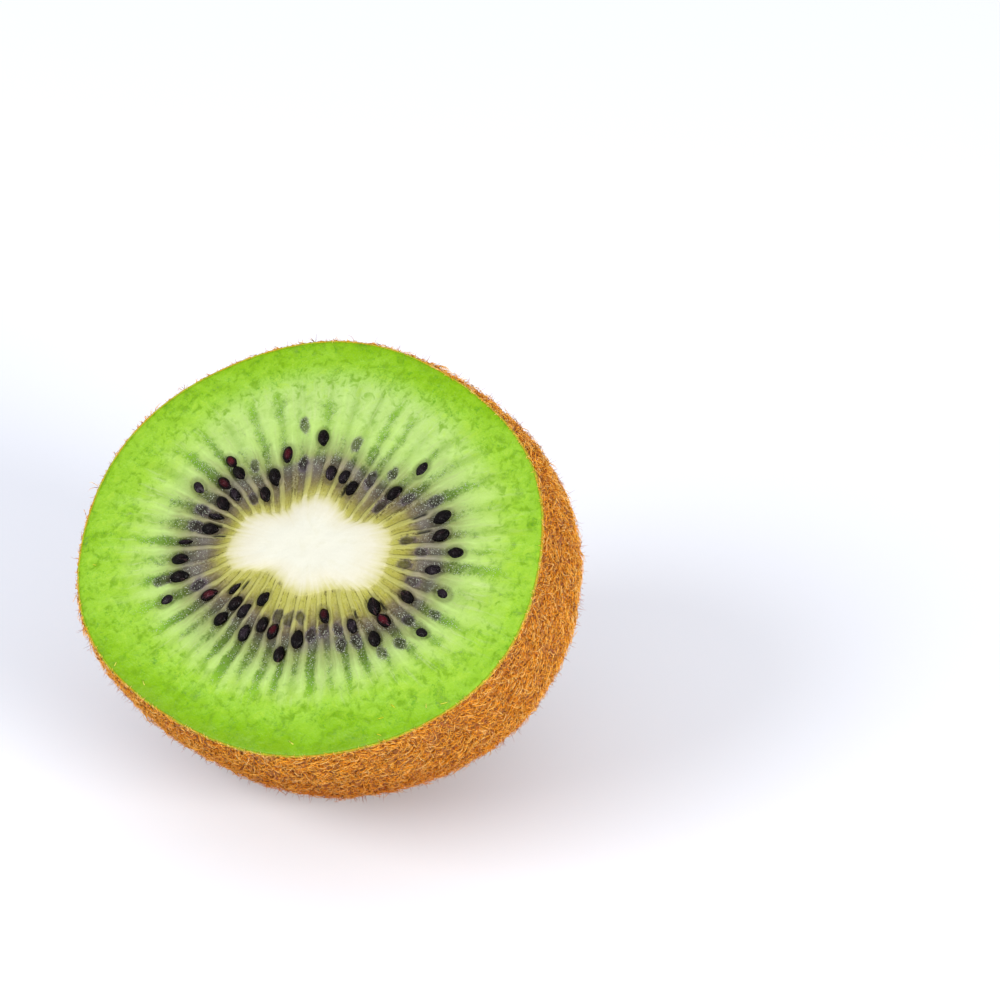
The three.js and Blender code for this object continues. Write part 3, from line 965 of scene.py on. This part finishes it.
def cut_colour(finish):
    """Colour of the cut over its cells, seeds' pockets, walls and outer flesh, with painted shade round the
    seeds and along the cells' edges, painted glints, and its bump height.
    """
    u, radius, _ = finish.split(finish.node("ShaderNodeUVMap", {"uv_map": "cells"}, {}))
    point = finish.place()
    level, ghost = finish.attribute("contents"), finish.attribute("ghost")
    pocket, slit = finish.attribute("pocket"), finish.attribute("slit")
    stage, tone, veil = (finish.attribute(name) for name in ("stage", "tone", "veil"))
    broad = finish.noise(point, 0.2, 3.0, 0.6)
    blotch = finish.noise(point, 0.6, 4.0, 0.6, 0.6)
    mottle = finish.noise(point, 1.05, 2.0, 0.55, 0.5)
    fine = finish.noise(point, 3.6, 3.0, 0.65)
    streak = finish.noise(finish.join(u * 2.4, radius * 0.16), 1.0, 3.0, 0.6)
    thin_streak = finish.noise(finish.join(u * 7.0, radius * 0.3), 1.0, 2.0, 0.6)
    off_centre = u.maths("PINGPONG", u, 0.5)
    frayed = stage.smooth(9.5, 14.5)
    contents = (level + (fine - 0.5) * 0.9 * frayed + (blotch - 0.5) * 1.2 * frayed).smooth(0.15, 0.85)
    veil = veil * (streak + (blotch - 0.5) * 0.6).smooth(0.4, 0.6) * stage.smooth(15.0, 11.0)
    contents = contents + (1 - contents) * veil

    # Outer flesh: pale between the cells' ends, brighter green towards the skin, with short dark curls
    flesh = finish.bands(stage + (broad - 0.5) * 5 + (blotch - 0.5) * 2.5, FLESH_TONES)
    flesh = finish.mix(finish.attribute("pale") * 0.6, flesh, colour("AECA80"))
    outer = (stage + (broad - 0.5) * 4).smooth(14.0, 19.0)
    flesh = finish.mix(mottle.smooth(0.5, 0.7) * outer * 0.75, flesh, colour("689600"))
    light_spots = mottle.smooth(0.46, 0.3) * outer * stage.smooth(26.0, 21.0)
    flesh = finish.mix(light_spots * 0.4, flesh, colour("A2C838"))
    flesh = finish.mix(blotch.smooth(0.52, 0.7) * outer * 0.5, flesh, colour("74A408"))
    wall_ray = off_centre.smooth(0.15, 0.5) * (stage + (streak - 0.5) * 9).smooth(21.0, 16.0)
    flesh = finish.mix(wall_ray * 0.65, flesh, colour("A6C668"))
    cell_ray = off_centre.smooth(0.36, 0.0) * (stage + (streak - 0.5) * 10).smooth(21.0, 15.0)
    flesh = finish.mix(cell_ray * 0.6, flesh, colour("6E9526"))
    rays = thin_streak.smooth(0.54, 0.7) * stage.smooth(22.5, 16.0)
    flesh = finish.mix(rays * 0.55, flesh, colour("AEC47E"))
    curls = finish.noise(point, 1.5, 1.0, 0.5, 0.7)
    curl_line = abs(curls - 0.5).smooth(0.04, 0.0) * blotch.smooth(0.48, 0.6) * stage.smooth(18.0, 21.5)
    flesh = finish.mix(curl_line * 0.55, flesh, colour("4A8C00"))
    grain = fine.smooth(0.5, 0.62) * stage.smooth(17.0, 21.5) * (blotch * 0.8 + 0.2)
    flesh = finish.mix(grain * 0.7, flesh, finish.mix(1.0, flesh, (0.74, 0.84, 0.5, 1), "MULTIPLY"))

    # Walls between the cells, and what fills the cells
    along_cells = stage + (streak - 0.5) * 1.6 + (blotch - 0.5) * 1.2
    wall = finish.bands(along_cells, WALL_TONES)
    wall = finish.mix(thin_streak.smooth(0.45, 0.7) * 0.35, wall, colour("777843"))
    tissue = finish.mix(stage.smooth(14.0, 18.0), wall, flesh)
    filling = finish.bands(along_cells + tone * 0.8, CONTENTS_TONES)
    filling = finish.mix(fine.smooth(0.5, 0.75) * stage.smooth(18.0, 14.0) * 0.4, filling, colour("282412"))
    filling = finish.mix(fine.smooth(0.48, 0.25) * stage.smooth(18.0, 14.0) * 0.3, filling, colour("9B9A82"))
    fibres = thin_streak.smooth(0.52, 0.72) * stage.smooth(12.0, 8.0)
    filling = finish.mix(fibres * 0.5, filling, colour("5A5020"))
    shade = finish.mix(contents * stage.smooth(21.5, 17.5), tissue, filling)
    # Painted shade: a dark edge along the sunk cell contents where they meet the walls
    border_shade = (contents * (1 - contents) * 4).clamp() * streak.smooth(0.44, 0.6) * stage.smooth(14.0, 9.0)
    shade = finish.mix(border_shade * fine.smooth(0.4, 0.56) * 0.8, shade, colour("463C12"))
    cloud = broad.smooth(0.45, 0.6) * stage.smooth(8.0, 9.5) * stage.smooth(13.5, 11.5)
    shade = finish.mix(cloud * 0.45, shade, colour("6E6A66"))
    thread = off_centre.smooth(0.38, 0.5) * streak.smooth(0.4, 0.6)
    thread = thread * stage.smooth(6.5, 9.0) * stage.smooth(20.0, 13.0)
    shade = finish.mix(thread * 0.8, shade, finish.mix(1.0, shade, (1.3, 1.28, 1.35, 1), "MULTIPLY"))

    # Seeds under the surface, dark rings round the seeds (their wet pockets' own brown and painted shade
    # where seed meets flesh), dark slits
    buried = ghost + (fine - 0.5) * 0.5 + (blotch - 0.5) * 1.2
    veiled = finish.mix(buried.smooth(0.3, 0.85), colour("54485A"), colour("150A12"))
    shade = finish.mix(buried.smooth(0.1, 0.75) * (blotch * 0.7 + 0.4), shade, veiled)
    # Painted shade round each seed, mixed with its wet pocket's own dark brown
    shade = finish.mix(pocket * 0.35, shade, colour("352B16"))
    shade = finish.mix(slit * 0.9, shade, colour("0C0A02"))

    # Painted glints: white specks of wet highlight, thick in the outer cells and rare in the flesh
    glint_room = finish.noise(point, 1.3).smooth(0.36, 0.52)
    glint_speck = finish.specks(point, 5.4).smooth(0.36, 0.16) * glint_room
    glint_cells = (contents + ghost).clamp() * (stage + (blotch - 0.5) * 3).smooth(8.0, 10.5)
    glint_cells = glint_cells * stage.smooth(21.0, 17.5)
    shade = finish.mix(glint_speck * (glint_cells * 0.8 + 0.06), shade, colour("C8D0BA"))

    # The pale core, its edge frayed by the walls that run into it
    edge = finish.attribute("verge") + (streak - 0.5) * 1.7 + (blotch - 0.5) * 0.8
    cream = finish.bands(edge, CORE_TONES)
    cream = finish.mix(blotch.smooth(0.5, 0.75) * 0.15, cream, colour("BDB98D"))
    shade = finish.mix(edge.smooth(4.9, 6.8), cream, shade)
    # The painted glint specks are also raised a little in the bump
    height = fine * 0.6 + mottle * 0.5 * outer + glint_speck * glint_cells * 0.6 - contents * 0.8
    return shade, height


def flesh_finish():
    finish = Finish("wet_green_flesh", Roughness=0.3, Specular_IOR_Level=0.15)
    shade, height = cut_colour(finish)
    finish.shade(Base_Color=shade, Normal=finish.bump(height, 0.00008))
    return finish.material


def core_finish():
    finish = Finish("moist_cream_pith", Roughness=0.42, Specular_IOR_Level=0.3)
    shade, height = cut_colour(finish)
    finish.shade(Base_Color=shade, Normal=finish.bump(height, 0.00004))
    return finish.material


def seed_finish(name, dark, light, sheen, dust):
    """Pitted seed coat with ridges lengthwise, a painted sheen along them, and a little dried juice."""
    finish = Finish(name, Specular_IOR_Level=0.1)
    point = finish.place()
    tone, along, across = (finish.attribute(n) for n in ("tone", "along", "across"))
    pits = finish.specks(point, 7.0)
    broad = finish.noise(point, 0.9, 2.0)
    ridges_and_sheen = finish.noise(finish.join(across * 2.6, along * 0.8, tone * 20), 1.0, 2.0, 0.6)
    middle = (along * along + across * across + (broad - 0.5) * 0.6).smooth(0.55, 0.0)
    shade = finish.mix(middle * (tone * 0.6 + 0.4), colour(dark), colour(light))
    # Painted sheen: lighter streaks along the lengthwise ridges
    shade = finish.mix(ridges_and_sheen.smooth(0.57, 0.69) * (tone * 0.7 + 0.1), shade, colour(sheen))
    shade = finish.mix(finish.specks(point, 4.5).smooth(0.2, 0.08) * dust, shade, colour("8E8A84"))
    height = pits.smooth(0.1, 0.6) + ridges_and_sheen * 1.5 + finish.noise(point, 4.0) * 0.5
    finish.shade(Base_Color=shade, Roughness=broad * 0.25 + 0.06, Normal=finish.bump(height, 0.00006))
    return finish.material


def paint_gap_and_floor_shade(finish, shade):
    """Painted shade: dark pits in the gaps between the hairs, and painted shade that turns the fruit darker
    and redder low down towards the floor.
    """
    point = finish.place()
    height = finish.split(point)[2]
    # Painted shade in the gaps between the hairs
    gap_shade = finish.specks(point, 1.7).smooth(0.4, 0.18)
    shade = finish.mix(gap_shade * 0.85, shade, colour("602600"))
    # Painted shade near the floor: darker and redder towards the bottom
    floor_shade = finish.mix(1.0, shade, (0.72, 0.54, 0.48, 1), "MULTIPLY")
    return finish.mix(height.smooth(18.0, 5.0), shade, floor_shade)


def skin_finish():
    finish = Finish("thin_brown_skin", Specular_IOR_Level=0.15)
    point = finish.place()
    patch = finish.noise(point, 0.35, 4.0, 0.6)
    pore = finish.specks(point, 1.6)
    # The skin's colour gets the painted gap shade and the painted shade near the floor
    shade = paint_gap_and_floor_shade(finish, finish.mix(patch.smooth(0.35, 0.68), colour("905218"), colour("BC7A2C")))
    shade = finish.mix(pore.smooth(0.36, 0.14) * 0.8, shade, colour("4A1A00"))
    rim = finish.mix(patch.smooth(0.4, 0.6), colour("B4961E"), colour("9CAA20"))
    shade = finish.mix(finish.attribute("cut_edge"), shade, rim)
    height = finish.noise(point, 2.2, 4.0, 0.6) + pore.smooth(0.1, 0.5) * 0.5
    finish.shade(Base_Color=shade, Roughness=patch * 0.2 + 0.5, Normal=finish.bump(height, 0.0002))
    return finish.material


def hair_finish(name, root, middle, tip):
    finish = Finish(name, Specular_IOR_Level=0.06)
    tone, along = finish.attribute("tone"), finish.attribute("along")
    shade = finish.mix(along.smooth(0.0, 0.7), colour(root), colour(middle))
    # Each hair's colour gets the painted gap shade and the painted shade near the floor
    shade = paint_gap_and_floor_shade(finish, finish.mix(tone.smooth(0.35, 1.0) * 0.8, shade, colour(tip)))
    finish.shade(Base_Color=shade, Roughness=0.55 - along * 0.12)
    return finish.material


def scar_finish():
    finish = Finish("dry_woody_scar", IOR=1.4)
    point = finish.place()
    grain = finish.noise(point, 1.6, 5.0, 0.65, 0.8)
    shade = finish.mix(grain.smooth(0.35, 0.65), colour("2A170C"), colour("6E4A2A"))
    finish.shade(Base_Color=shade, Roughness=grain * 0.2 + 0.65, Normal=finish.bump(grain, 0.0003))
    return finish.material


# ---------------------------------------------------------------- camera, light and floor


CAMERA_AZIMUTH = math.radians(37.85)
CAMERA_ELEVATION = math.radians(35)
CAMERA_DISTANCE = 0.4683
CAMERA_LENS = 162
CAMERA_SENSOR = 36
CAMERA_SHIFT = (0.1923, 0.0463)
LIGHT_TARGET = Vector((0, 0, 0.02))
SKY_TINT = (0.92, 0.91, 1, 1)
SKY_STRENGTH = 0.65


def camera_and_light():
    level = math.cos(CAMERA_ELEVATION)
    sideways, forwards = math.sin(CAMERA_AZIMUTH) * level, -math.cos(CAMERA_AZIMUTH) * level
    away = Vector((sideways, forwards, math.sin(CAMERA_ELEVATION)))
    camera = bpy.data.objects.new("camera", bpy.data.cameras.new("camera"))
    bpy.context.scene.collection.objects.link(camera)
    camera.location = FACE_CENTRE * 0.001 + away * CAMERA_DISTANCE
    camera.rotation_euler = (-away).to_track_quat("-Z", "Y").to_euler()
    camera.data.lens = CAMERA_LENS
    camera.data.sensor_width = CAMERA_SENSOR
    camera.data.shift_x, camera.data.shift_y = CAMERA_SHIFT
    bpy.context.scene.camera = camera

    def area(name, place, size, power, tint):
        light = bpy.data.objects.new(name, bpy.data.lights.new(name, "AREA"))
        light.data.shape = "DISK"
        light.data.size = size
        light.data.energy = power
        light.data.color = tint
        light.location = place
        light.rotation_euler = (LIGHT_TARGET - Vector(place)).to_track_quat("-Z", "Y").to_euler()
        bpy.context.scene.collection.objects.link(light)

    area("key_light", (-0.3, -0.75, 0.62), 0.6, 5.9, (1, 1, 1))
    area("fill_light", (0.95, -0.15, 0.42), 0.5, 8.5, (1, 0.97, 0.92))
    world = bpy.data.worlds.new("studio")
    world.use_nodes = True
    background = world.node_tree.nodes["Background"]
    background.inputs["Color"].default_value = SKY_TINT
    background.inputs["Strength"].default_value = SKY_STRENGTH
    bpy.context.scene.world = world
    bpy.context.scene.view_settings.view_transform = "Standard"

    deselect()
    bpy.ops.mesh.primitive_plane_add(size=6)
    floor = bpy.context.object
    floor.name = "floor"
    finish = Finish("pale_floor", Roughness=0.6, Specular_IOR_Level=0.1)
    finish.shade(Base_Color=(0.92, 0.96, 1.0, 1))
    floor.data.materials.append(finish.material)


# ---------------------------------------------------------------- assembly


camera_and_light()
make_flesh().data.materials.append(flesh_finish())
make_core().data.materials.append(core_finish())
shape = seed_shape()
# The third colour of each seed coat is its painted sheen
make_seeds("seeds_black", "B", shape).data.materials.append(
    seed_finish("black_seed_coat", "020001", "0E0406", "443032", 0.1)
)
make_seeds("seeds_brown", "R", shape).data.materials.append(
    seed_finish("red_brown_seed_coat", "060103", "500C18", "5A3038", 0.15)
)
make_seeds("seeds_sunk", "dt", shape).data.materials.append(
    seed_finish("veiled_seed_coat", "0A0608", "241A22", "544A52", 0.4)
)
bpy.data.objects.remove(shape)
skin = make_skin()
skin.data.materials.append(skin_finish())
make_hairs(
    skin,
    {
        "gold": hair_finish("gold_hair", "F09A28", "FFC85C", "FFDE98"),
        "tan": hair_finish("tan_hair", "E28412", "FFAC2E", "FFC65C"),
        "brown": hair_finish("brown_hair", "A05004", "DC8618", "F8B03C"),
        "red": hair_finish("red_brown_hair", "A04020", "B45C38", "D08C68"),
        "yellow": hair_finish("yellow_hair", "D0CC20", "E4DC38", "F2EC78"),
    },
)
lay_on_floor(settle(skin, "skin"), 0.0001)
make_scar().data.materials.append(scar_finish())
